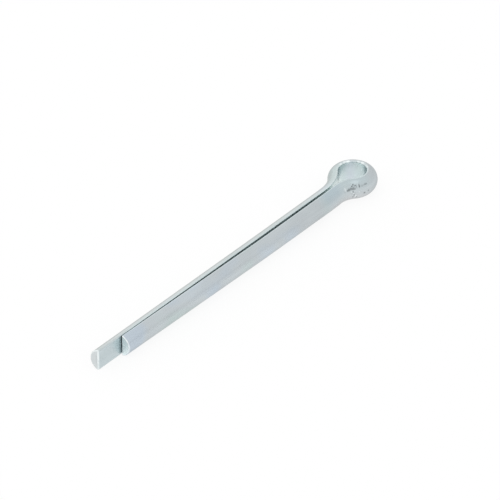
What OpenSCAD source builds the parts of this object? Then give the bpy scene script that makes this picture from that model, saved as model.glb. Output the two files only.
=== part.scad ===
// Split cotter pin with an extended prong: one length of half-round wire folded
// back on itself, flat face to flat face, with a round eye at the fold.
// +X runs down the shank from the eye to the tips, +Y points to the short leg,
// and +Z is the eye's axis. The origin is on the shank's axis where the parallel
// legs begin, and the pin lies on its side. Above the parallel legs both wires
// bend slightly together, which sets the eye over towards the long leg.

/* [Shank] */
// Diameter of the shank, measured over both legs
shank_d = 4.6; // [3:0.1:8]
// Length of the short leg below the eye
short_leg_l = 63; // [40:1:100]
// How far the long leg runs on past the short one
prong_extra = 6.5; // [2:0.5:12]
// Gap between the two flat faces below the eye
leg_gap = 0.5; // [0.4:0.05:0.8]

/* [Set of the legs] */
// Length below the eye over which the legs run parallel
parallel_l = 18.5; // [10:0.5:30]
// Gap between the flat faces at the short leg's end
tip_gap = 0.1; // [0.05:0.05:0.35]
// Angle in degrees by which the long leg leans away from the shank's axis
long_leg_lean = 0.25; // [0.1:0.05:0.6]
// Radius of the slight bend where each leg starts to lean
lean_bend_r = 300; // [100:10:400]

/* [Eye] */
// Diameter of the hole through the eye
eye_hole_d = 5.4; // [4:0.1:9]
// Radius on the short leg's back where it turns out of the shank into the eye
neck_r = 3.5; // [1:0.1:6]
// Radius on the long leg's back where it sweeps out of the shank into the eye
long_neck_r = 7; // [1:0.1:10]
// Angle in degrees by which the eye is set over towards the long leg
eye_set = 2.7; // [0.5:0.1:4]
// Radius on the shank's axis of the bend that sets the eye over
eye_set_r = 55; // [30:5:120]

/* [Edges] */
// Radius on the wire's corners, between its round back and its flat face
corner_r = 0.3; // [0.1:0.05:0.35]
// Width of the broken edge between the round back and each sheared end
edge_break = 0.15; // [0.05:0.05:0.25]
// Width of the broken edge between the flat face and each sheared end
flat_edge_break = 0.3; // [0.05:0.05:0.4]

/* [Hidden] */
$fn = 96;
zinc = [0.78, 0.80, 0.81];

// The wire is shaped in metres and the finished pin is scaled up to millimetres,
// because the ends of its bends then meet closely enough to join into one solid.
mm = 0.001;

shank_r = mm * shank_d / 2;
half_gap = mm * leg_gap / 2;
// Height of the wire's round back over its flat face
wire_h = shank_r - half_gap;
rounding_r = mm * corner_r;
// Distance of each rounded corner's centre from the middle of the flat face
rounding_z = sqrt(pow(shank_r - rounding_r, 2) - pow(half_gap + rounding_r, 2));
// The point where each rounded corner runs into the round back
back_turn = atan2(half_gap + rounding_r, rounding_z);
back_start = [shank_r * sin(back_turn) - half_gap, shank_r * cos(back_turn)];

eye_r = mm * eye_hole_d / 2;
neck_flat_r = mm * neck_r + wire_h;
long_flat_r = mm * long_neck_r + wire_h;
// Each side turns out by its angle at the neck before the eye turns it back
flare_turn = acos((half_gap + neck_flat_r) / (eye_r + neck_flat_r));
long_flare_turn = acos((half_gap + long_flat_r) / (eye_r + long_flat_r));
// The eye's centre lies this far beyond the start of each neck
neck_rise = (neck_flat_r + eye_r) * sin(flare_turn);
long_neck_rise = (long_flat_r + eye_r) * sin(long_flare_turn);
// The neck that starts lower settles how far the eye stands out
eye_rise = max(neck_rise, long_neck_rise);

set_r = mm * eye_set_r;
// Length of the shank's axis that the bend under the eye takes up
set_l = set_r * eye_set * PI / 180;

lean_x = mm * parallel_l;
lean_r = mm * lean_bend_r;
// The legs are measured from the short leg's neck
short_leg_x = mm * short_leg_l - set_l - (eye_rise - neck_rise);
long_leg_x = short_leg_x + mm * prong_extra;
// The short leg closes on the long one by the difference of the two gaps
closing = mm * (leg_gap - tip_gap) / (short_leg_x - lean_x);
short_leg_lean = atan(tan(long_leg_lean) + closing);

break_w = mm * edge_break;
flat_break_w = mm * flat_edge_break;
// Cutters reach this far past the faces that they cut
overcut = 1 * mm;

// The wire's cross-section: its flat face on the Y axis and its back towards +X
module wire_section() {
    intersection() {
        translate([-half_gap, 0])
            circle(r = shank_r);
        polygon([
            [0, -rounding_z],
            [0, rounding_z],
            back_start,
            [wire_h + overcut, shank_r + overcut],
            [wire_h + overcut, -shank_r - overcut],
            [back_start.x, -back_start.y]
        ]);
    }
    for (side = [-1, 1])
        translate([rounding_r, side * rounding_z])
            circle(r = rounding_r);
}

// Straight wire along +X, with its flat face in the plane y = 0 and its back to +Y
module straight_wire(length) {
    rotate([90, 0, 90])
        linear_extrude(length)
            wire_section();
}

// Wire bent about Z with its flat face on the inside of the bend
module curled_wire(flat_r, turn) {
    rotate_extrude(angle = turn)
        translate([flat_r, 0])
            wire_section();
}

// Wire bent about Z with its flat face on the outside of the bend
module flared_wire(flat_r, turn) {
    rotate_extrude(angle = turn)
        translate([flat_r, 0])
            mirror([1, 0])
                wire_section();
}

// What is broken off the sharp edges of an end sheared square at x = 0
module end_edges() {
    translate([0, -half_gap, 0])
        rotate([0, 90, 0])
            rotate_extrude()
                polygon([
                    [shank_r - break_w - overcut, overcut],
                    [shank_r + overcut, overcut],
                    [shank_r + overcut, -break_w - overcut]
                ]);
    linear_extrude(3 * shank_r, center = true)
        polygon([
            [-flat_break_w - overcut, -overcut],
            [overcut, flat_break_w + overcut],
            [overcut, -overcut]
        ]);
}

// The part of a leg past its bend, which ends in a sheared face
module leaning_tail(length) {
    difference() {
        straight_wire(length);
        translate([length, 0, 0])
            end_edges();
    }
}

// A leg on the +Y side of the shank, which ends at end_x. Where its lean is
// above 0 it closes on the other leg, and below 0 it stands away.
module leg(end_x, lean) {
    turn = abs(lean);
    // The bend takes up this length on each side of the corner at lean_x
    bend_l = lean_r * tan(turn / 2);
    translate([0, half_gap, 0]) {
        straight_wire(lean_x - bend_l);
        translate([lean_x - bend_l, 0, 0])
            if (lean > 0)
                translate([0, -lean_r, 0])
                    rotate([0, 0, 90 - turn])
                        curled_wire(lean_r, turn);
            else
                translate([0, lean_r, 0])
                    rotate([0, 0, -90])
                        flared_wire(lean_r, turn);
        translate([lean_x, 0, 0])
            rotate([0, 0, -lean])
                translate([bend_l, 0, 0])
                    leaning_tail((end_x - lean_x) / cos(lean) - bend_l);
    }
}

// The slight bend of both wires that sets the eye over towards the long leg
module set_bend() {
    translate([0, -set_r, 0])
        rotate([0, 0, 90]) {
            curled_wire(set_r + half_gap, eye_set);
            flared_wire(set_r - half_gap, eye_set);
        }
}

// Carries what leads on from the shank over to the far end of that bend
module set_over() {
    translate([0, -set_r, 0])
        rotate([0, 0, eye_set])
            translate([0, set_r, 0])
                children();
}

// The turn on the +Y side that leads out of the shank into the eye. A neck that
// starts above the other has a straight piece of wire below it.
module neck(flat_r, turn, rise) {
    translate([rise - eye_rise, half_gap, 0]) {
        translate([0, flat_r, 0])
            rotate([0, 0, -90 - turn])
                flared_wire(flat_r, turn);
        if (eye_rise > rise)
            straight_wire(eye_rise - rise);
    }
}

// The round loop, which joins the two necks round its far side
module eye() {
    translate([-eye_rise, 0, 0])
        rotate([0, 0, 90 - flare_turn])
            curled_wire(eye_r, 180 + flare_turn + long_flare_turn);
}

module cotter_pin() {
    color(zinc)
        scale(1 / mm) {
            set_over() {
                eye();
                neck(neck_flat_r, flare_turn, neck_rise);
                mirror([0, 1, 0])
                    neck(long_flat_r, long_flare_turn, long_neck_rise);
            }
            set_bend();
            leg(short_leg_x, short_leg_lean);
            mirror([0, 1, 0])
                leg(long_leg_x, -long_leg_lean);
        }
}

cotter_pin();
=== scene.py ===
import math

import bpy
from mathutils import Matrix, Vector


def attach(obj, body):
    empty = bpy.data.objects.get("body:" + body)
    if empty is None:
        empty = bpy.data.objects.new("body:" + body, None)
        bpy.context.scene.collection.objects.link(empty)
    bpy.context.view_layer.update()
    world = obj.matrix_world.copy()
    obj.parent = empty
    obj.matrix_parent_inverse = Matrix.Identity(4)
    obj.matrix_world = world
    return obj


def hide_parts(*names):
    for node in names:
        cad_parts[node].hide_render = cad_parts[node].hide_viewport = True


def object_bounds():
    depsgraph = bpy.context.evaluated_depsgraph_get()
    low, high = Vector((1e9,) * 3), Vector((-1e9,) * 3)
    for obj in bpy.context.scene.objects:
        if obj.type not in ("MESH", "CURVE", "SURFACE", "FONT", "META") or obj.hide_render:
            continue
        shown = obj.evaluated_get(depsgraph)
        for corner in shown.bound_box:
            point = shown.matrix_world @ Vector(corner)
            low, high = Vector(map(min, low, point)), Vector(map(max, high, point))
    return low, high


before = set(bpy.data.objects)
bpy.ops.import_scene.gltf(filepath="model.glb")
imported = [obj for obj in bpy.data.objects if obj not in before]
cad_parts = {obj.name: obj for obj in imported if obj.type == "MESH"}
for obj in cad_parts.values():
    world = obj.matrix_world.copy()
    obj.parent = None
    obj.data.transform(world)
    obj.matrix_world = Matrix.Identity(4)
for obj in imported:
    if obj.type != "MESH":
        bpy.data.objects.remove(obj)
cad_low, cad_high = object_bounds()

# ---------------------------------------------------------------------------
# The wire
# A cotter pin starts as a straight length of half-round steel wire: low-carbon
# steel drawn round, rolled flat on one side and cropped square in a shear.
# ---------------------------------------------------------------------------

SHANK_RADIUS = 0.0023
HALF_GAP = 0.00025
CORNER_RADIUS = 0.0003
EYE_RADIUS = 0.0027
SHORT_NECK_BACK_RADIUS = 0.0035
LONG_NECK_BACK_RADIUS = 0.007
SHORT_LEG = 0.063
PRONG_EXTRA = 0.0065
LEAN_START = 0.0185
LEAN_BEND_RADIUS = 0.3
LONG_LEG_LEAN = math.radians(0.25)
TIP_GAP = 0.0001
EYE_SET = math.radians(2.7)
EYE_SET_RADIUS = 0.055

# Each side of the wire turns out of the shank by its flare, and back again round the eye.
# The long leg's neck sweeps out more gently and starts lower, so it settles where the eye is.
WIRE_HEIGHT = SHANK_RADIUS - HALF_GAP
SHORT_NECK_RADIUS = SHORT_NECK_BACK_RADIUS + WIRE_HEIGHT
LONG_NECK_RADIUS = LONG_NECK_BACK_RADIUS + WIRE_HEIGHT
SHORT_FLARE = math.acos((HALF_GAP + SHORT_NECK_RADIUS) / (EYE_RADIUS + SHORT_NECK_RADIUS))
LONG_FLARE = math.acos((HALF_GAP + LONG_NECK_RADIUS) / (EYE_RADIUS + LONG_NECK_RADIUS))
SHORT_NECK_RISE = (SHORT_NECK_RADIUS + EYE_RADIUS) * math.sin(SHORT_FLARE)
EYE_RISE = (LONG_NECK_RADIUS + EYE_RADIUS) * math.sin(LONG_FLARE)
NECK_STEP = EYE_RISE - SHORT_NECK_RISE
SET_LENGTH = EYE_SET_RADIUS * EYE_SET
SHORT_LEG_END = SHORT_LEG - SET_LENGTH - NECK_STEP
LONG_LEG_END = SHORT_LEG_END + PRONG_EXTRA
CLOSING = (2 * HALF_GAP - TIP_GAP) / (SHORT_LEG_END - LEAN_START)
SHORT_LEG_LEAN = math.atan(math.tan(LONG_LEG_LEAN) + CLOSING)

# Lengths along the flat face, from the middle of the eye outwards
SHORT_NECK_AT = EYE_RADIUS * (math.pi / 2 + SHORT_FLARE)
LONG_NECK_AT = EYE_RADIUS * (math.pi / 2 + LONG_FLARE)
SHORT_LEG_AT = SHORT_NECK_AT + SHORT_NECK_RADIUS * SHORT_FLARE + NECK_STEP + SET_LENGTH
LONG_LEG_AT = LONG_NECK_AT + LONG_NECK_RADIUS * LONG_FLARE + SET_LENGTH


def cut_length(leg_at, leg_end, lean):
    """Flat-face length from the middle of the eye to a leg's sheared end."""
    bend_reach = LEAN_BEND_RADIUS * math.tan(lean / 2)
    tail = (leg_end - LEAN_START) / math.cos(lean) - bend_reach
    return leg_at + LEAN_START - bend_reach + LEAN_BEND_RADIUS * lean + tail


SHORT_CUT = cut_length(SHORT_LEG_AT, SHORT_LEG_END, SHORT_LEG_LEAN)
LONG_CUT = cut_length(LONG_LEG_AT, LONG_LEG_END, LONG_LEG_LEAN)


def new_group(name, inputs, outputs):
    """A Geometry Nodes group whose sockets are given as (name, kind) pairs."""
    tree = bpy.data.node_groups.new(name, "GeometryNodeTree")
    for label, kind in inputs:
        tree.interface.new_socket(name=label, in_out="INPUT", socket_type="NodeSocket" + kind)
    for label, kind in outputs:
        tree.interface.new_socket(name=label, in_out="OUTPUT", socket_type="NodeSocket" + kind)
    return tree, tree.nodes.new("NodeGroupInput").outputs, tree.nodes.new("NodeGroupOutput").inputs


def put(tree, kind, sockets=None, **settings):
    """Adds a node, sets it up, and joins or fills its input sockets."""
    node = tree.nodes.new(kind)
    for key, value in settings.items():
        setattr(node, key, value)
    for key, value in (sockets or {}).items():
        if isinstance(value, bpy.types.NodeSocket):
            tree.links.new(value, node.inputs[key])
        else:
            node.inputs[key].default_value = value
    return node


def calc(tree, operation, *values):
    """One Math node; gives its result socket."""
    return put(tree, "ShaderNodeMath", dict(enumerate(values)), operation=operation).outputs[0]


def length_of(tree, vector):
    """How long a vector is."""
    return put(tree, "ShaderNodeVectorMath", {0: vector}, operation="LENGTH").outputs["Value"]


def ramp(tree, value, from_low, from_high, to_low, to_high, shape="LINEAR"):
    """A value carried from one range to another and held at its ends."""
    node = put(tree, "ShaderNodeMapRange", {
        "Value": value,
        "From Min": from_low,
        "From Max": from_high,
        "To Min": to_low,
        "To Max": to_high,
    }, interpolation_type=shape)
    return node.outputs["Result"]


# Half-round section: Round is 0 on top of the back, 1 and -1 in the middle of the flat.
# Most of the points round the wire go to its round back.
ROUND_POINTS = 120
BACK_SHARE = 80 / ROUND_POINTS
CORNER_SHARE = 100 / ROUND_POINTS

section, given, made = new_group(
    "half_round_section",
    [("Round", "Float"), ("Shank Radius", "Float"), ("Half Gap", "Float"),
     ("Corner Radius", "Float")],
    [("Out", "Float"), ("Side", "Float")],
)
away = calc(section, "ABSOLUTE", given["Round"])
core = calc(section, "SUBTRACT", given["Shank Radius"], given["Corner Radius"])
seat = calc(section, "ADD", given["Half Gap"], given["Corner Radius"])
back_turn = calc(section, "ARCCOSINE", calc(section, "DIVIDE", seat, core))
on_back = ramp(section, away, 0.0, BACK_SHARE, 0.0, back_turn)
to_flat = calc(section, "SUBTRACT", math.pi, back_turn)
on_corner = ramp(section, away, BACK_SHARE, CORNER_SHARE, 0.0, to_flat)
facing = calc(section, "ADD", on_back, on_corner)
core_out = calc(section, "MULTIPLY", core, calc(section, "COSINE", on_back))
skin_out = calc(section, "MULTIPLY", given["Corner Radius"], calc(section, "COSINE", facing))
out = calc(section, "SUBTRACT", calc(section, "ADD", core_out, skin_out), given["Half Gap"])
on_flat = ramp(section, away, CORNER_SHARE, 1.0, 1.0, 0.0)
core_side = calc(section, "MULTIPLY", core, calc(section, "SINE", on_back))
skin_side = calc(section, "MULTIPLY", given["Corner Radius"], calc(section, "SINE", facing))
side = calc(section, "ADD", calc(section, "MULTIPLY", core_side, on_flat), skin_side)
side = calc(section, "MULTIPLY", side, calc(section, "SIGN", given["Round"]))
section.links.new(out, made["Out"])
section.links.new(side, made["Side"])

wire, given, made = new_group(
    "cotter_pin_wire",
    [("Shank Radius", "Float"), ("Half Gap", "Float"), ("Corner Radius", "Float"),
     ("Short Cut", "Float"), ("Long Cut", "Float"),
     ("Edge Break", "Float"), ("Flat Edge Break", "Float"), ("Mark Depth", "Float"),
     ("Eye Radius", "Float"), ("Eye Rise", "Float"),
     ("Short Neck Radius", "Float"), ("Short Flare", "Float"),
     ("Short Neck At", "Float"), ("Short Leg At", "Float"),
     ("Long Neck Radius", "Float"), ("Long Flare", "Float"),
     ("Long Neck At", "Float"), ("Long Leg At", "Float"),
     ("Lean Start", "Float"), ("Lean Bend Radius", "Float"),
     ("Short Leg Lean", "Float"), ("Long Leg Lean", "Float"),
     ("Eye Set", "Float"), ("Eye Set Radius", "Float"), ("Finish", "Material")],
    [("Geometry", "Geometry")],
)

# Rings run from the long leg's end to the short leg's: fine ones over the broken edges
# and the eye, and wider ones down the straight legs
EDGE_ZONE = 0.0004
HEAD_REACH = 0.0135
EDGE_RINGS = 14
LEG_RINGS = 60
HEAD_RINGS = 620
END_FACE_RINGS = 8
full_cut = calc(wire, "ADD", given["Short Cut"], given["Long Cut"])
long_stretch = calc(wire, "SUBTRACT", given["Long Cut"], EDGE_ZONE + HEAD_REACH)
short_stretch = calc(wire, "SUBTRACT", given["Short Cut"], EDGE_ZONE + HEAD_REACH)
stretches = [
    (EDGE_RINGS, EDGE_ZONE),
    (LEG_RINGS, long_stretch),
    (HEAD_RINGS, 2 * HEAD_REACH),
    (LEG_RINGS, short_stretch),
    (EDGE_RINGS, EDGE_ZONE),
]
ring_count = sum(count for count, length in stretches)

rod = put(wire, "GeometryNodeMeshCylinder", {
    "Vertices": ROUND_POINTS,
    "Side Segments": ring_count,
    "Fill Segments": END_FACE_RINGS,
    "Radius": 1.0,
    "Depth": 1.0,
})
place = put(wire, "ShaderNodeSeparateXYZ", {0: put(wire, "GeometryNodeInputPosition").outputs[0]})
angle = calc(wire, "ARCTAN2", place.outputs["Y"], place.outputs["X"])
from_middle = put(wire, "ShaderNodeCombineXYZ", {"X": place.outputs["X"], "Y": place.outputs["Y"]})
depth_in = length_of(wire, from_middle.outputs[0])
ring = calc(wire, "MULTIPLY", calc(wire, "ADD", place.outputs["Z"], 0.5), float(ring_count))
from_long_end = 0.0
first_ring = 0
for count, length in stretches:
    last_ring = first_ring + count
    stretch = ramp(wire, ring, float(first_ring), float(last_ring), 0.0, length)
    from_long_end = calc(wire, "ADD", from_long_end, stretch)
    first_ring = last_ring
from_short_end = calc(wire, "SUBTRACT", full_cut, from_long_end)

# Each point keeps its place on the straight wire through all the bends
ruled = put(wire, "GeometryNodeCaptureAttribute", {"Geometry": rod.outputs["Mesh"]})
for name, value in (
    ("Round", calc(wire, "DIVIDE", angle, math.pi)),
    ("Along", calc(wire, "SUBTRACT", from_long_end, given["Long Cut"])),
    ("From End", calc(wire, "MINIMUM", from_long_end, from_short_end)),
    ("Depth In", depth_in),
):
    ruled.capture_items.new("FLOAT", name)
    wire.links.new(value, ruled.inputs[name])
along = ruled.outputs["Along"]
from_end = ruled.outputs["From End"]
away = calc(wire, "ABSOLUTE", ruled.outputs["Round"])

half_round = put(wire, "GeometryNodeGroup", node_tree=section)
for name in ("Shank Radius", "Half Gap", "Corner Radius"):
    wire.links.new(given[name], half_round.inputs[name])
wire.links.new(ruled.outputs["Round"], half_round.inputs["Round"])

# Sheared ends: the back's broken edge is a quarter round, worked towards the middle of
# the section, and the flat's is a wider slope
EDGE_BREAK = 0.00015
FLAT_EDGE_BREAK = 0.0003
SLOPE_BLEND = 0.00005
MIDDLE_OUT = 0.00095
out = calc(wire, "SUBTRACT", half_round.outputs["Out"], MIDDLE_OUT)
across = put(wire, "ShaderNodeCombineXYZ", {"X": out, "Y": half_round.outputs["Side"]}).outputs[0]
reach = length_of(wire, across)
near_edge = ramp(wire, from_end, 0.0, given["Edge Break"], 1.0, 0.0)
fall = calc(wire, "SQRT", calc(wire, "SUBTRACT", 1.0, calc(wire, "MULTIPLY", near_edge, near_edge)))
inset = calc(wire, "MULTIPLY", given["Edge Break"], calc(wire, "SUBTRACT", 1.0, fall))
kept = calc(wire, "DIVIDE", calc(wire, "SUBTRACT", reach, inset), reach)
rim_out = calc(wire, "ADD", calc(wire, "MULTIPLY", out, kept), MIDDLE_OUT)
rim_side = calc(wire, "MULTIPLY", half_round.outputs["Side"], kept)
slope = calc(wire, "SUBTRACT", given["Flat Edge Break"], from_end)
rim_out = calc(wire, "SMOOTH_MAX", rim_out, slope, SLOPE_BLEND)

# Rings inside the end faces lie closer together towards the rim
RIM_CROWDING = 1.6
inwards = calc(wire, "SUBTRACT", 1.0, ruled.outputs["Depth In"])
to_rim = calc(wire, "SUBTRACT", 1.0, calc(wire, "POWER", inwards, RIM_CROWDING))
wire_out = calc(wire, "MULTIPLY", calc(wire, "SUBTRACT", rim_out, MIDDLE_OUT), to_rim)
wire_out = calc(wire, "ADD", wire_out, MIDDLE_OUT)
wire_side = calc(wire, "MULTIPLY", rim_side, to_rim)
straight = put(wire, "ShaderNodeCombineXYZ", {"X": along, "Y": wire_out, "Z": wire_side}).outputs[0]

# ---------------------------------------------------------------------------
# The tool marks
# A jaw slipped on the round back of the short leg's side of the eye. It left one
# dragged groove, some nicks pressed into the steel, and burrs beside them. The nicks get
# painted shade and the burrs painted highlights.
# ---------------------------------------------------------------------------

MARK_DEPTH = 0.00005
NICKS = [
    # along, side, half length, half width, share of Mark Depth
    (0.00885, 0.00090, 0.00042, 0.00028, 0.60),
    (0.00835, 0.00096, 0.00050, 0.00032, 0.70),
    (0.00775, 0.00104, 0.00050, 0.00032, 0.62),
    (0.00715, 0.00098, 0.00052, 0.00032, 0.62),
    (0.00668, 0.00096, 0.00040, 0.00026, 0.50),
    (0.00700, 0.00160, 0.00021, 0.00015, 1.00),
    (0.00650, 0.00146, 0.00020, 0.00014, 0.90),
    (0.00736, 0.00140, 0.00021, 0.00015, 1.00),
    (0.00684, 0.00128, 0.00017, 0.00012, 0.80),
    (0.00628, 0.00132, 0.00012, 0.00030, 0.35),
    (0.00594, 0.00132, 0.00010, 0.00038, 0.85),
    (0.00558, 0.00128, 0.00030, 0.00024, 0.22),
    (0.00510, 0.00134, 0.00034, 0.00020, 0.45),
    (0.00990, 0.00078, 0.00030, 0.00022, 0.18),
    (0.00722, 0.00042, 0.00024, 0.00022, 0.80),
    (0.00665, 0.00012, 0.00018, 0.00022, 0.30),
    (0.00760, 0.00004, 0.00018, 0.00022, 0.28),
    (0.00693, -0.00033, 0.00024, 0.00024, 0.80),
    (0.00725, -0.00082, 0.00026, 0.00030, 0.50),
    (0.00638, -0.00096, 0.00022, 0.00028, 0.50),
    (0.00541, -0.00025, 0.00016, 0.00026, 0.65),
    (0.00489, -0.00008, 0.00014, 0.00026, 0.50),
]
BURRS = [
    # along, side, half length, half width, brightness of the painted highlight
    (0.00951, 0.00126, 0.00045, 0.00042, 0.55),
    (0.00608, 0.00132, 0.00010, 0.00042, 0.25),
    (0.00762, 0.00042, 0.00022, 0.00024, 0.60),
    (0.00712, 0.00002, 0.00028, 0.00024, 0.60),
    (0.00652, -0.00065, 0.00028, 0.00040, 0.90),
    (0.00602, 0.00025, 0.00010, 0.00020, 0.35),
]

# A nick has a level floor and a low lip of steel pushed up round it, and a burr is a mound.
# These are shares of the distance from the spot's middle to its edge.
NICK_FLOOR = 0.5
LIP_START = 0.8
LIP_CREST = 1.2
LIP_END = 2.0
LIP_HEIGHT = 0.3
BURR_TOP = 0.2
BACK_FADE = 0.05
on_round = ramp(wire, away, BACK_SHARE, BACK_SHARE + BACK_FADE, 1.0, 0.0)


def spot_distance(spot_along, spot_side, half_length, half_width):
    """Distance from the middle of a spot on the back, where 1 is the spot's edge."""
    long_way = calc(wire, "DIVIDE", calc(wire, "SUBTRACT", along, spot_along), half_length)
    wide_way = calc(wire, "DIVIDE", calc(wire, "SUBTRACT", wire_side, spot_side), half_width)
    way = put(wire, "ShaderNodeCombineXYZ", {"X": long_way, "Y": wide_way}).outputs[0]
    return length_of(wire, way)


# The pits are kept as a mask for painted shade, and the burrs as one for painted highlights
dent = 0.0
nicked = 0.0
for spot_along, spot_side, half_length, half_width, share in NICKS:
    from_nick = spot_distance(spot_along, spot_side, half_length, half_width)
    pit = ramp(wire, from_nick, NICK_FLOOR, 1.0, 1.0, 0.0, "SMOOTHSTEP")
    lip_rise = ramp(wire, from_nick, LIP_START, LIP_CREST, 0.0, LIP_HEIGHT, "SMOOTHSTEP")
    lip_fall = ramp(wire, from_nick, LIP_CREST, LIP_END, 1.0, 0.0, "SMOOTHSTEP")
    lip = calc(wire, "MULTIPLY", lip_rise, lip_fall)
    dent = calc(wire, "ADD", dent, calc(wire, "MULTIPLY", calc(wire, "SUBTRACT", pit, lip), share))
    nicked = calc(wire, "MAXIMUM", nicked, calc(wire, "MULTIPLY", pit, share))
burr_glint = 0.0
for spot_along, spot_side, half_length, half_width, bright in BURRS:
    from_burr = spot_distance(spot_along, spot_side, half_length, half_width)
    raised = ramp(wire, from_burr, BURR_TOP, 1.0, 1.0, 0.0, "SMOOTHSTEP")
    dent = calc(wire, "SUBTRACT", dent, calc(wire, "MULTIPLY", raised, bright))
    burr_glint = calc(wire, "MAXIMUM", burr_glint, calc(wire, "MULTIPLY", raised, bright))
dent = calc(wire, "MULTIPLY", calc(wire, "MULTIPLY", dent, on_round), given["Mark Depth"])
nicked = calc(wire, "MULTIPLY", nicked, on_round)
burr_glint = calc(wire, "MULTIPLY", burr_glint, on_round)

# A nick goes straight in towards the shank's axis
from_axis = put(wire, "ShaderNodeCombineXYZ", {
    "Y": calc(wire, "ADD", wire_out, given["Half Gap"]),
    "Z": wire_side,
})
outward = put(wire, "ShaderNodeVectorMath", {0: from_axis.outputs[0]}, operation="NORMALIZE")
inward = put(wire, "ShaderNodeVectorMath", {
    0: outward.outputs[0],
    "Scale": dent,
}, operation="SCALE")
marked = put(wire, "ShaderNodeVectorMath", {
    0: straight,
    1: inward.outputs[0],
}, operation="SUBTRACT")
laid = put(wire, "GeometryNodeSetPosition", {
    "Geometry": ruled.outputs["Geometry"],
    "Position": marked.outputs[0],
})

# What the finish follows: the place on the straight wire, the flat side, edges worn bright
# with painted glints, painted glints on the eye's corner and the burrs, the nicks, which get
# painted shade, the eye's wall, which gets painted light, and the sheared faces
# Each band's two places are followed by how bright it is at each.
# The sheared ends' broken edges are worn bright and carry painted glints, stronger on the upper
# side
RUB_WIDTH = 0.00006
BACK_RUB_ACROSS = (-0.0016, 0.0016, 0.15, 1.0)
SLOPE_RUB = (-0.00015, -0.00002, 1.0, 0.1)
SLOPE_RUB_ACROSS = (-0.0020, 0.0016, 1.0, 0.85)
RIM_SHARE = 0.9
# Painted glints on the corners between back and flat: their width, softness, a faint shine all
# along, and strong spots on the eye's upper corner
CORNER_WIDE = 0.03
CORNER_SOFT = 0.02
CORNER_SHINE = 0.12
CORNER_GLINTS = [
    # along, half length, brightness of the painted glint, on the eye's upper corner
    (-0.00285, 0.00085, 1.0),
    (-0.00410, 0.00045, 0.7),
    (-0.00060, 0.00035, 0.6),
    (0.00025, 0.00040, 1.0),
    (0.00150, 0.00060, 0.6),
]
# Where the eye's wall gets painted light, fading out towards the legs
EYE_WALL_END = 0.0085
EYE_WALL_FADE = 0.004
flat_side = ramp(wire, away, BACK_SHARE, CORNER_SHARE, 0.0, 1.0)
flat_extra = calc(wire, "SUBTRACT", given["Flat Edge Break"], given["Edge Break"])
break_width = calc(wire, "ADD", given["Edge Break"], calc(wire, "MULTIPLY", flat_side, flat_extra))
past_break = calc(wire, "SUBTRACT", from_end, break_width)
# Bright wear and painted glints on the sheared ends' broken edges
back_wear_and_glint = ramp(wire, past_break, 0.0, RUB_WIDTH, 1.0, 0.0)
back_wear_and_glint = calc(wire, "MULTIPLY", back_wear_and_glint, ramp(wire, wire_side, *BACK_RUB_ACROSS))
slope_wear_and_glint = ramp(wire, past_break, *SLOPE_RUB)
slope_wear_and_glint = calc(wire, "MULTIPLY", slope_wear_and_glint, ramp(wire, wire_side, *SLOPE_RUB_ACROSS))
flat_part = calc(wire, "MULTIPLY", slope_wear_and_glint, flat_side)
back_part = calc(wire, "MULTIPLY", back_wear_and_glint, calc(wire, "SUBTRACT", 1.0, flat_side))
edge_wear_and_glint = calc(wire, "ADD", flat_part, back_part)
edge_wear_and_glint = calc(wire, "MULTIPLY", edge_wear_and_glint, ramp(wire, to_rim, RIM_SHARE, 1.0, 0.0, 1.0))
# Painted glints on the corners: faint all along, and strong at the listed spots on the eye's upper
# corner
on_top = calc(wire, "GREATER_THAN", ruled.outputs["Round"], 0.0)
corner_in = ramp(wire, away, BACK_SHARE - CORNER_WIDE, BACK_SHARE + CORNER_SOFT, 0.0, 1.0)
corner_out = ramp(wire, away, CORNER_SHARE - CORNER_SOFT, CORNER_SHARE + CORNER_WIDE, 1.0, 0.0)
glint = CORNER_SHINE
for spot_along, half_length, bright in CORNER_GLINTS:
    from_glint_spot = calc(wire, "ABSOLUTE", calc(wire, "SUBTRACT", along, spot_along))
    glint_spot = ramp(wire, from_glint_spot, 0.5 * half_length, half_length, bright, 0.0, "SMOOTHSTEP")
    glint = calc(wire, "MAXIMUM", glint, calc(wire, "MULTIPLY", glint_spot, on_top))
corner_glint = calc(wire, "MULTIPLY", calc(wire, "MULTIPLY", corner_in, corner_out), glint)
rubbed = calc(wire, "MAXIMUM", calc(wire, "MAXIMUM", edge_wear_and_glint, corner_glint), burr_glint)
from_crown = calc(wire, "ABSOLUTE", along)
in_eye = ramp(wire, from_crown, EYE_WALL_END - EYE_WALL_FADE, EYE_WALL_END, 1.0, 0.0, "SMOOTHSTEP")
shaped = laid.outputs[0]
for name, value, kind, domain in (
    ("on_wire", straight, "FLOAT_VECTOR", "POINT"),
    ("flat_side", flat_side, "FLOAT", "POINT"),
    ("rubbed", rubbed, "FLOAT", "POINT"),
    ("nicked", nicked, "FLOAT", "POINT"),
    ("in_eye", in_eye, "FLOAT", "POINT"),
    ("sheared", calc(wire, "MAXIMUM", rod.outputs["Top"], rod.outputs["Bottom"]), "FLOAT", "FACE"),
):
    stored = put(wire, "GeometryNodeStoreNamedAttribute", data_type=kind, domain=domain)
    stored.inputs["Name"].default_value = name
    wire.links.new(shaped, stored.inputs["Geometry"])
    wire.links.new(value, stored.inputs["Value"])
    shaped = stored.outputs[0]

# ---------------------------------------------------------------------------
# The bends
# The legs get their slight lean first, then both necks are pressed in, and the
# middle is closed round a mandrel into the eye. Last the eye is set over a little.
# ---------------------------------------------------------------------------

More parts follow.
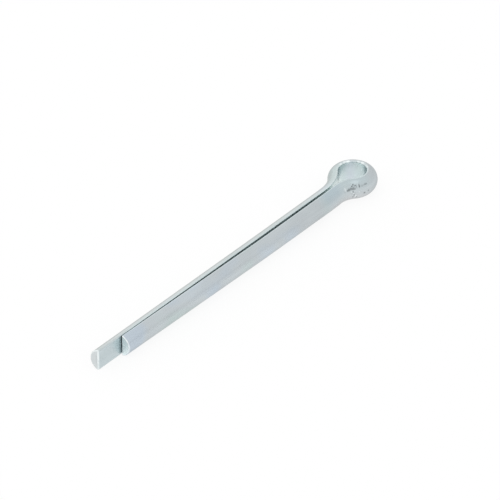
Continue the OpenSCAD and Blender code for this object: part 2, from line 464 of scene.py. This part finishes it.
# Everything past Start on one side of the wire turns by Turn about Z, as if pressed
# round a former. Side is 1 or -1, and Turn is above 0 towards the wire's back.
bend, bend_given, bend_made = new_group(
    "bend_wire",
    [("Geometry", "Geometry"), ("Along", "Float"), ("Side", "Float"), ("Start", "Float"),
     ("Flat Radius", "Float"), ("Turn", "Float")],
    [("Geometry", "Geometry")],
)
reached = calc(bend, "MULTIPLY", bend_given["Along"], bend_given["Side"])
size_of_turn = calc(bend, "ABSOLUTE", bend_given["Turn"])
bend_length = calc(bend, "MULTIPLY", size_of_turn, bend_given["Flat Radius"])
bend_end = calc(bend, "ADD", bend_given["Start"], bend_length)
slide = ramp(bend, reached, bend_given["Start"], bend_end, 0.0, bend_length)
turned = ramp(bend, reached, bend_given["Start"], bend_end, 0.0, bend_given["Turn"])
slide_back = calc(bend, "MULTIPLY", calc(bend, "MULTIPLY", slide, bend_given["Side"]), -1.0)
slid = put(bend, "ShaderNodeVectorMath", {
    0: put(bend, "GeometryNodeInputPosition").outputs[0],
    1: put(bend, "ShaderNodeCombineXYZ", {"X": slide_back}).outputs[0],
}, operation="ADD")
former = put(bend, "ShaderNodeCombineXYZ", {
    "X": calc(bend, "MULTIPLY", bend_given["Start"], bend_given["Side"]),
    "Y": calc(bend, "MULTIPLY", bend_given["Flat Radius"], calc(bend, "SIGN", bend_given["Turn"])),
})
turned_place = put(bend, "ShaderNodeVectorRotate", {
    "Vector": slid.outputs[0],
    "Center": former.outputs[0],
    "Angle": calc(bend, "MULTIPLY", turned, bend_given["Side"]),
}, rotation_type="Z_AXIS")
bent = put(bend, "GeometryNodeSetPosition", {
    "Geometry": bend_given["Geometry"],
    "Position": turned_place.outputs[0],
})
bend.links.new(bent.outputs[0], bend_made["Geometry"])


def press(geometry, place_along, bend_side, start, flat_radius, bend_turn):
    """Presses one bend into the wire; gives the bent geometry."""
    node = put(wire, "GeometryNodeGroup", node_tree=bend)
    values = (geometry, place_along, bend_side, start, flat_radius, bend_turn)
    for socket, value in zip(node.inputs, values):
        if isinstance(value, bpy.types.NodeSocket):
            wire.links.new(value, socket)
        else:
            socket.default_value = value
    return node.outputs[0]


for leg, bend_side, towards in (("Short", 1.0, -1.0), ("Long", -1.0, 1.0)):
    lean = given[leg + " Leg Lean"]
    half_lean = calc(wire, "MULTIPLY", lean, 0.5)
    bend_reach = calc(wire, "MULTIPLY", given["Lean Bend Radius"], calc(wire, "TANGENT", half_lean))
    lean_at = calc(wire, "ADD", given[leg + " Leg At"], given["Lean Start"])
    start = calc(wire, "SUBTRACT", lean_at, bend_reach)
    lean_turn = calc(wire, "MULTIPLY", lean, towards)
    shaped = press(shaped, along, bend_side, start, given["Lean Bend Radius"], lean_turn)
for leg, bend_side in (("Short", 1.0), ("Long", -1.0)):
    flare = given[leg + " Flare"]
    eye_turn = calc(wire, "MULTIPLY", calc(wire, "ADD", flare, math.pi / 2), -1.0)
    neck_at = given[leg + " Neck At"]
    shaped = press(shaped, along, bend_side, neck_at, given[leg + " Neck Radius"], flare)
    shaped = press(shaped, along, bend_side, 0.0, given["Eye Radius"], eye_turn)

# The middle of the wire comes to the far side of the eye, with the legs along +X, and
# both wires bend together just above the legs
set_length = calc(wire, "MULTIPLY", given["Eye Set"], given["Eye Set Radius"])
crown = calc(wire, "ADD", calc(wire, "ADD", given["Eye Rise"], given["Eye Radius"]), set_length)
to_legs = put(wire, "ShaderNodeCombineXYZ", {"X": calc(wire, "MULTIPLY", crown, -1.0)})
set_down = put(wire, "GeometryNodeTransform", {
    "Geometry": shaped,
    "Translation": to_legs.outputs[0],
    "Rotation": (0.0, 0.0, math.pi / 2),
})
lying = put(wire, "GeometryNodeInputPosition").outputs[0]
from_eye = put(wire, "ShaderNodeSeparateXYZ", {0: lying}).outputs["X"]
set_turn = calc(wire, "MULTIPLY", given["Eye Set"], -1.0)
shaped = press(set_down.outputs[0], from_eye, -1.0, 0.0, given["Eye Set Radius"], set_turn)
smooth = put(wire, "GeometryNodeSetShadeSmooth", {"Geometry": shaped, "Shade Smooth": True})
realized = put(wire, "GeometryNodeRealizeInstances", {"Geometry": smooth.outputs[0]})
finished = put(wire, "GeometryNodeSetMaterial", {
    "Geometry": realized.outputs[0],
    "Material": given["Finish"],
})
wire.links.new(finished.outputs[0], made["Geometry"])

# ---------------------------------------------------------------------------
# The zinc plate
# Bright zinc over drawn steel: a thin electroplated coat with a clear passivate, which
# drifts between blue, grey and green. The drawing lines of the wire show through it.
# ---------------------------------------------------------------------------

# The plate also carries painted light on the eye's wall, the fork's flats and the short end,
# painted glints on edges, corners and burrs, and painted shade in the nicks
BLUE_ZINC = (0.502, 0.570, 0.634, 1.0)
GREY_ZINC = (0.530, 0.575, 0.597, 1.0)
GREEN_ZINC = (0.508, 0.584, 0.584, 1.0)
FAR_LEG_ZINC = (0.545, 0.583, 0.578, 1.0)
NECK_ZINC = (0.425, 0.505, 0.550, 1.0)
BELOW_NECK_ZINC = (0.498, 0.537, 0.556, 1.0)
EYE_TOP_ZINC = (0.503, 0.583, 0.602, 1.0)
EYE_LOW_ZINC = (0.562, 0.580, 0.588, 1.0)
EYE_CROWN_ZINC = (0.505, 0.545, 0.560, 1.0)
EYE_GREEN_ZINC = (0.508, 0.580, 0.572, 1.0)
FLAT_ZINC = (0.530, 0.603, 0.625, 1.0)
# Painted light on the eye's wall, lifting the shade inside the eye
EYE_WALL_PAINTED_LIGHT = (0.590, 0.685, 0.693, 1.0)
EYE_WALL_BLUE_PAINTED_LIGHT = (0.600, 0.664, 0.710, 1.0)
# Bright edge wear, and painted glints on edges, the eye's corner and the burrs
WEAR_AND_GLINT_ZINC = (0.88, 0.935, 0.94, 1.0)
# Painted light on the fork's flats and a painted highlight on the eye's wall
FORK_AND_WALL_PAINTED_LIGHT = (0.78, 0.87, 0.87, 1.0)
# Sheared faces: the short end's is lighter, with painted light lifting the shade the long leg puts
# on it
SHORT_END_ZINC_AND_PAINTED_LIGHT = (0.845, 0.94, 0.955, 1.0)
LONG_END_ZINC = (0.667, 0.705, 0.713, 1.0)
# Painted shade in the nicks
NICK_PAINTED_SHADE = (0.15, 0.17, 0.18, 1.0)

# Where each tint lies on the straight wire, in metres from the middle of the eye, with the
# short leg's side above 0. It fades in between its first two places and out between its
# last two. Over a pair of places one tint gives way to another.
FAR_LEG = (-0.0155, -0.0135)
ROUND_EYE = (-0.0125, -0.0095, 0.0120, 0.0150)
EYE_CROWN = (0.0034, 0.0050)
EYE_GREEN = (-0.0055, -0.0030)
BELOW_EYE = (0.0092, 0.0118, 0.0145, 0.0190)
BELOW_NECK = (0.0150, 0.0172, 0.0225, 0.0265)
BLUE_WALL = (-0.0036, -0.0024, -0.0020, -0.0008)
# Painted light in the fork's gap and a painted highlight on the eye's wall lie between these places
FORK = (0.0036, 0.0051, 0.0700, 0.0735)
DEEP_FORK = (0.0135, 0.0165)
WALL_GLINT = (-0.0008, 0.0004, 0.0006, 0.0011)
LONG_TO_SHORT_END = (-0.01, 0.01)

# The same across the wire, where the upper side is above 0
EYE_ACROSS = (-0.0010, 0.0020)
BELOW_EYE_ACROSS = (0.0000, 0.0016)
GLINT_ACROSS = (0.0000, 0.0008)

# How far each tint covers the zinc under it
FAR_LEG_COVER = 0.8
ROUND_EYE_COVER = 0.9
BELOW_EYE_COVER = 0.75
BELOW_NECK_COVER = 0.9
GLINT_COVER = 0.9
DEEP_FORK_COVER = 0.65

# Noise on the wire: waves per metre along it, the same across it, and detail
RUB_PATCHES = (1500.0, 1500.0, 1.0)
PASSIVATE = (90.0, 130.0, 1.5)
CLOUDS = (160.0, 300.0, 2.0)
DRAWING_LINES = (60.0, 9000.0, 2.0)
SPECKS = (9000.0, 9000.0, 1.0)
HANDLING = (220.0, 500.0, 2.0)
TEARS = (2500.0, 2500.0, 3.0)
NOISE_LOW = 0.3
NOISE_HIGH = 0.7

# Noise levels at which one shade turns into the next, and how patchy the rubbing and the painted
# glints are
BLUE_TO_GREY = (0.38, 0.48)
GREY_TO_GREEN = (0.52, 0.60)
LESS_TO_MORE_RUBBED = (0.38, 0.58)
LEAST_RUBBED = 0.55

# How much lighter and darker the clouds, lines and specks are than the zinc
CLOUD_DEPTH = 0.035
LINE_DEPTH = 0.03
SPECK_DEPTH = 0.02

# Roughness of the round back, and what the other surfaces add to it
DULLEST = 0.30
BRIGHTEST = 0.22
FLAT_DULLER = 0.12
SHEARED_DULLER = 0.22
RUBBED_BRIGHTER = 0.06
NICK_DULLER = 0.25
SPECK_RELIEF = 0.6
TEAR_RELIEF = 2.0

zinc = bpy.data.materials.new("bright_zinc_plate")
zinc.use_nodes = True
plate = zinc.node_tree
plate.nodes.clear()


def felt(name, socket="Fac"):
    """An attribute of the wire, read by the plate's material."""
    return put(plate, "ShaderNodeAttribute", attribute_name=name).outputs[socket]


def grain(per_metre_along, per_metre_across, detail):
    """Noise on the straight wire, stretched along it or not."""
    spot = put(plate, "ShaderNodeVectorMath", {
        0: felt("on_wire", "Vector"),
        1: (per_metre_along, per_metre_across, per_metre_across),
    }, operation="MULTIPLY")
    return put(plate, "ShaderNodeTexNoise", {
        "Vector": spot.outputs[0],
        "Scale": 1.0,
        "Detail": detail,
    }).outputs["Fac"]


def between(noise, low, high):
    """Noise spread between a low and a high value."""
    return ramp(plate, grain(*noise), NOISE_LOW, NOISE_HIGH, low, high)


def over(place, places, cover=1.0):
    """A tint's cover: in between its first two places, and out between its last two."""
    fade_in = ramp(plate, place, places[0], places[1], 0.0, cover)
    fade_out = ramp(plate, place, places[2], places[3], 1.0, 0.0)
    return calc(plate, "MULTIPLY", fade_in, fade_out)


def tint(amount, first, second):
    """Mixes two colours."""
    node = put(plate, "ShaderNodeMix", {0: amount, 6: first, 7: second}, data_type="RGBA")
    return node.outputs[2]


flat = felt("flat_side")
cut_face = felt("sheared")
pits = felt("nicked")
on_wire = put(plate, "ShaderNodeSeparateXYZ", {0: felt("on_wire", "Vector")}).outputs
along = on_wire["X"]
across = on_wire["Z"]
from_crown = calc(plate, "ABSOLUTE", along)

# Rubbing and the painted glints are patchy
patches = ramp(plate, grain(*RUB_PATCHES), *LESS_TO_MORE_RUBBED, LEAST_RUBBED, 1.0)
rubbed = calc(plate, "MULTIPLY", felt("rubbed"), patches)

# The passivate drifts from blue through grey to green, and is greyer on the long leg
passivate = grain(*PASSIVATE)
colour = tint(ramp(plate, passivate, *BLUE_TO_GREY, 0.0, 1.0), BLUE_ZINC, GREY_ZINC)
colour = tint(ramp(plate, passivate, *GREY_TO_GREEN, 0.0, 1.0), colour, GREEN_ZINC)
colour = tint(ramp(plate, along, *FAR_LEG, FAR_LEG_COVER, 0.0), colour, FAR_LEG_ZINC)

# Round the outside of the eye it is bluer above than below, duller over the crown, and
# green on the long leg's side
eye_zinc = tint(ramp(plate, across, *EYE_ACROSS, 0.0, 1.0), EYE_LOW_ZINC, EYE_TOP_ZINC)
eye_zinc = tint(ramp(plate, along, *EYE_CROWN, 1.0, 0.0), eye_zinc, EYE_CROWN_ZINC)
eye_zinc = tint(ramp(plate, along, *EYE_GREEN, 1.0, 0.0), eye_zinc, EYE_GREEN_ZINC)
colour = tint(over(along, ROUND_EYE, ROUND_EYE_COVER), colour, eye_zinc)

# The short leg's neck is dark on its upper side, and stays a little dark below it
upper_side = ramp(plate, across, *BELOW_EYE_ACROSS, 0.0, 1.0)
below_eye = calc(plate, "MULTIPLY", over(along, BELOW_EYE, BELOW_EYE_COVER), upper_side)
colour = tint(below_eye, colour, NECK_ZINC)
colour = tint(over(along, BELOW_NECK, BELOW_NECK_COVER), colour, BELOW_NECK_ZINC)

# The flat, and painted light on the eye's wall that lifts the shade inside the eye
colour = tint(flat, colour, FLAT_ZINC)
painted_eye_wall_light = tint(over(along, BLUE_WALL), EYE_WALL_PAINTED_LIGHT, EYE_WALL_BLUE_PAINTED_LIGHT)
colour = tint(calc(plate, "MULTIPLY", flat, felt("in_eye")), colour, painted_eye_wall_light)

# Painted light on the flats that face each other in the fork, lifting the shade in the gap,
# weaker deep in the gap, and a painted highlight as one short streak on the eye's wall
painted_fork_and_wall_light = calc(
    plate,
    "MULTIPLY",
    over(from_crown, FORK),
    ramp(plate, from_crown, *DEEP_FORK, 1.0, DEEP_FORK_COVER),
)
glint_side = ramp(plate, across, *GLINT_ACROSS, 0.0, GLINT_COVER)
wall_glint = calc(plate, "MULTIPLY", over(along, WALL_GLINT), glint_side)
painted_fork_and_wall_light = calc(plate, "MAXIMUM", painted_fork_and_wall_light, wall_glint)
colour = tint(calc(plate, "MULTIPLY", flat, painted_fork_and_wall_light), colour, FORK_AND_WALL_PAINTED_LIGHT)

# Light and dark: broad clouds, fine drawing lines along the wire, and the plate's grain
clouds = between(CLOUDS, -CLOUD_DEPTH, CLOUD_DEPTH)
lines = between(DRAWING_LINES, -LINE_DEPTH, LINE_DEPTH)
specks = between(SPECKS, -SPECK_DEPTH, SPECK_DEPTH)
shade = calc(plate, "ADD", calc(plate, "ADD", clouds, lines), calc(plate, "ADD", specks, 1.0))
lit = put(plate, "ShaderNodeVectorMath", {0: colour, "Scale": shade}, operation="SCALE").outputs[0]
# The sheared faces, with the short end's lightened by painted light against the shade from the long
# leg beside it
short_side = ramp(plate, along, *LONG_TO_SHORT_END, 0.0, 1.0)
sheared_face_and_painted_light = tint(short_side, LONG_END_ZINC, SHORT_END_ZINC_AND_PAINTED_LIGHT)
lit = tint(cut_face, lit, sheared_face_and_painted_light)
# Bright edge wear, with painted glints on the edges, the eye's corner and the burrs
lit = tint(rubbed, lit, WEAR_AND_GLINT_ZINC)
# Painted shade in the nicks
lit = tint(pits, lit, NICK_PAINTED_SHADE)

# The flat is duller than the back, the sheared faces duller still, and worn edges and painted
# glints less rough
dull = between(HANDLING, BRIGHTEST, DULLEST)
dull = calc(plate, "ADD", dull, calc(plate, "MULTIPLY", flat, FLAT_DULLER))
dull = calc(plate, "ADD", dull, calc(plate, "MULTIPLY", cut_face, SHEARED_DULLER))
dull = calc(plate, "SUBTRACT", dull, calc(plate, "MULTIPLY", rubbed, RUBBED_BRIGHTER))
dull = calc(plate, "ADD", dull, calc(plate, "MULTIPLY", pits, NICK_DULLER))

# Drawing lines and plating grain stand up everywhere, and the steel is torn where it sheared
relief = calc(plate, "MULTIPLY", grain(*SPECKS), SPECK_RELIEF)
relief = calc(plate, "ADD", grain(*DRAWING_LINES), relief)
torn = calc(plate, "MULTIPLY", cut_face, TEAR_RELIEF)
tears = calc(plate, "MULTIPLY", grain(*TEARS), torn)
bumps = put(plate, "ShaderNodeBump", {
    "Strength": 0.25,
    "Distance": 0.00001,
    "Height": calc(plate, "ADD", relief, tears),
})
shader = put(plate, "ShaderNodeBsdfPrincipled", {
    "Base Color": lit,
    "Metallic": 1.0,
    "Roughness": dull,
    "Specular Tint": (0.75, 0.75, 0.75, 1.0),
    "Normal": bumps.outputs[0],
})
put(plate, "ShaderNodeOutputMaterial", {"Surface": shader.outputs[0]})

# ---------------------------------------------------------------------------
# The finished pin
# The bent and plated wire. It comes out of the plating barrel as one piece of steel,
# with nothing fixed to it, and lies loose on the floor.
# ---------------------------------------------------------------------------

blank = bpy.data.objects.new("wire_blank", bpy.data.meshes.new("wire_blank"))
bpy.context.scene.collection.objects.link(blank)
maker = blank.modifiers.new("wire", "NODES")
maker.node_group = wire
sizes = {
    "Shank Radius": SHANK_RADIUS,
    "Half Gap": HALF_GAP,
    "Corner Radius": CORNER_RADIUS,
    "Short Cut": SHORT_CUT,
    "Long Cut": LONG_CUT,
    "Edge Break": EDGE_BREAK,
    "Flat Edge Break": FLAT_EDGE_BREAK,
    "Mark Depth": MARK_DEPTH,
    "Eye Radius": EYE_RADIUS,
    "Eye Rise": EYE_RISE,
    "Short Neck Radius": SHORT_NECK_RADIUS,
    "Short Flare": SHORT_FLARE,
    "Short Neck At": SHORT_NECK_AT,
    "Short Leg At": SHORT_LEG_AT,
    "Long Neck Radius": LONG_NECK_RADIUS,
    "Long Flare": LONG_FLARE,
    "Long Neck At": LONG_NECK_AT,
    "Long Leg At": LONG_LEG_AT,
    "Lean Start": LEAN_START,
    "Lean Bend Radius": LEAN_BEND_RADIUS,
    "Short Leg Lean": SHORT_LEG_LEAN,
    "Long Leg Lean": LONG_LEG_LEAN,
    "Eye Set": EYE_SET,
    "Eye Set Radius": EYE_SET_RADIUS,
    "Finish": zinc,
}
for socket in wire.interface.items_tree:
    if socket.in_out == "INPUT":
        maker[socket.identifier] = sizes[socket.name]
bpy.context.view_layer.update()
depsgraph = bpy.context.evaluated_depsgraph_get()
shaped_wire = bpy.data.meshes.new_from_object(blank.evaluated_get(depsgraph))
shaped_wire.name = "pin_wire"
bpy.data.objects.remove(blank)

pin = bpy.data.objects.new("pin_wire", shaped_wire)
bpy.context.scene.collection.objects.link(pin)
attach(pin, "root")
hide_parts("cotter_pin")

# ---------------------------------------------------------------------------
# The floor
# A matt board of pale card that the pin lies on. To the camera it is nearly white, and
# bright metal mirrors it as white.
# ---------------------------------------------------------------------------

FLOOR_HALF = 2.0
CARD_GREY = (0.19, 0.19, 0.19, 1.0)
WHITE = (1.0, 1.0, 1.0, 1.0)
SEEN_GLOW = 0.85
MIRRORED_GLOW = 1.08
floor_z = cad_low.z
board = bpy.data.meshes.new("floor")
corners = [
    (-FLOOR_HALF, -FLOOR_HALF, floor_z),
    (FLOOR_HALF, -FLOOR_HALF, floor_z),
    (FLOOR_HALF, FLOOR_HALF, floor_z),
    (-FLOOR_HALF, FLOOR_HALF, floor_z),
]
board.from_pydata(corners, [], [(0, 1, 2, 3)])
floor = bpy.data.objects.new("floor", board)
bpy.context.scene.collection.objects.link(floor)
pale = bpy.data.materials.new("pale_board")
pale.use_nodes = True
paper = pale.node_tree
paper.nodes.clear()
matt = put(paper, "ShaderNodeBsdfDiffuse", {"Color": CARD_GREY})
seen = put(paper, "ShaderNodeLightPath").outputs
lift = put(paper, "ShaderNodeEmission", {
    "Color": WHITE,
    "Strength": calc(paper, "MULTIPLY", seen["Is Camera Ray"], SEEN_GLOW),
})
lit_board = put(paper, "ShaderNodeAddShader", {0: matt.outputs[0], 1: lift.outputs[0]})
white = put(paper, "ShaderNodeEmission", {"Color": WHITE, "Strength": MIRRORED_GLOW})
mirrored = calc(paper, "MAXIMUM", seen["Is Glossy Ray"], seen["Is Transmission Ray"])
both = put(paper, "ShaderNodeMixShader", {
    0: mirrored,
    1: lit_board.outputs[0],
    2: white.outputs[0],
})
put(paper, "ShaderNodeOutputMaterial", {"Surface": both.outputs[0]})
board.materials.append(pale)

# ---------------------------------------------------------------------------
# The light and the camera
# A white surround, one soft lamp overhead and one low behind the pin, and a camera
# that sees it in parallel view.
# ---------------------------------------------------------------------------

SURROUND_LIGHT = 0.75
SURROUND_WHITE = 1.0
world = bpy.data.worlds.new("white_surround")
bpy.context.scene.world = world
world.use_nodes = True
sky = world.node_tree
sky.nodes.clear()
seen = put(sky, "ShaderNodeLightPath").outputs
direct = calc(sky, "MAXIMUM", seen["Is Camera Ray"], seen["Is Glossy Ray"])
direct = calc(sky, "MAXIMUM", direct, seen["Is Transmission Ray"])
lift = calc(sky, "MULTIPLY", direct, SURROUND_WHITE - SURROUND_LIGHT)
strength = calc(sky, "ADD", lift, SURROUND_LIGHT)
glow = put(sky, "ShaderNodeBackground", {"Color": WHITE, "Strength": strength})
put(sky, "ShaderNodeOutputWorld", {"Surface": glow.outputs[0]})

pin_middle = Vector((0.03, 0.0, 0.0))
for lamp_name, place, size, energy in (
    # place and size in metres, energy in watts
    ("overhead", (0.15, 0.05, 0.6), 0.5, 0.15),
    ("from_behind", (-0.5, -0.58, 0.15), 0.7, 0.385),
):
    lamp_data = bpy.data.lights.new(lamp_name, "AREA")
    lamp_data.shape = "SQUARE"
    lamp_data.size = size
    lamp_data.energy = energy
    lamp = bpy.data.objects.new(lamp_name, lamp_data)
    bpy.context.scene.collection.objects.link(lamp)
    lamp.location = place
    lamp.rotation_euler = (pin_middle - lamp.location).to_track_quat("-Z", "Y").to_euler()

AZIMUTH = math.radians(130.124)
ELEVATION = math.radians(35.4)
ROLL = math.radians(-1.141)
PIXELS_PER_METRE = 5295.6
FRAME_PIXELS = 500.0
CAMERA_OFFSET = Vector((-0.015943, -0.010587, 0.4))
camera_data = bpy.data.cameras.new("camera")
camera_data.type = "ORTHO"
camera_data.ortho_scale = FRAME_PIXELS / PIXELS_PER_METRE
camera_data.clip_start = 0.01
camera_data.clip_end = 10.0
camera = bpy.data.objects.new("camera", camera_data)
bpy.context.scene.collection.objects.link(camera)
tilt = Matrix.Rotation(math.pi / 2 - ELEVATION, 4, "X") @ Matrix.Rotation(ROLL, 4, "Z")
turn = Matrix.Rotation(AZIMUTH, 4, "Z") @ tilt
set_back = Vector((-SET_LENGTH - NECK_STEP, 0.0, 0.0))
aim = set_back + turn @ CAMERA_OFFSET
camera.matrix_world = Matrix.Translation(aim) @ turn
bpy.context.scene.camera = camera
bpy.context.scene.view_settings.view_transform = "Standard"
